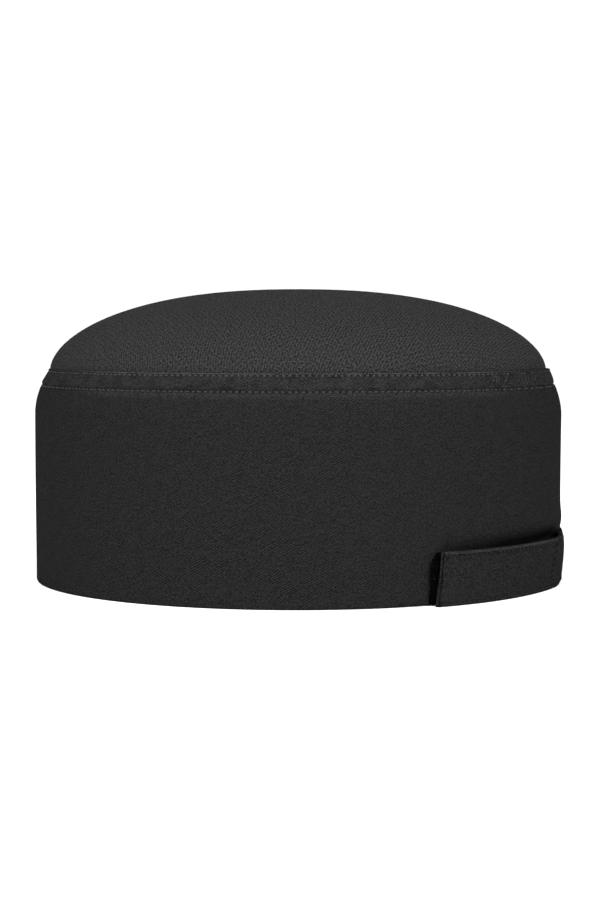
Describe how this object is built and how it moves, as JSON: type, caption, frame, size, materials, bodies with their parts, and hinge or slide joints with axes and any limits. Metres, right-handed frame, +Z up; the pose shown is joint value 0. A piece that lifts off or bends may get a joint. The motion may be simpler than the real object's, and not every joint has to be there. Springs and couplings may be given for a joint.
{
  "type": "pillbox work cap with mesh crown",
  "caption": "Pillbox work cap with an upright twill band, a domed mesh crown joined by a sewn strip, and a hook and loop adjuster tab at the back.",
  "frame": {"origin": "centre of the rim on the surface that the cap stands on", "axes": "+Z up through the crown, -X towards the wearer's forehead, +X towards the back seam, -Y towards the wearer's left"},
  "size_m": [0.1952, 0.172, 0.1067],
  "materials": {
    "twill": "matte black polyester and cotton twill",
    "strip_twill": "matte black twill, folded and topstitched",
    "mesh_knit": "matte black knitted mesh with small holes",
    "loop_tape": "napped black loop tape",
    "hook_tape": "black hook tape"
  },
  "bodies": {
    "root": {"band": "twill", "seam_strip": "strip_twill", "mesh_crown": "mesh_knit", "adjuster_tab": "twill", "loop_patch": "loop_tape", "hook_patch": "hook_tape"}
  },
  "joints": []
}
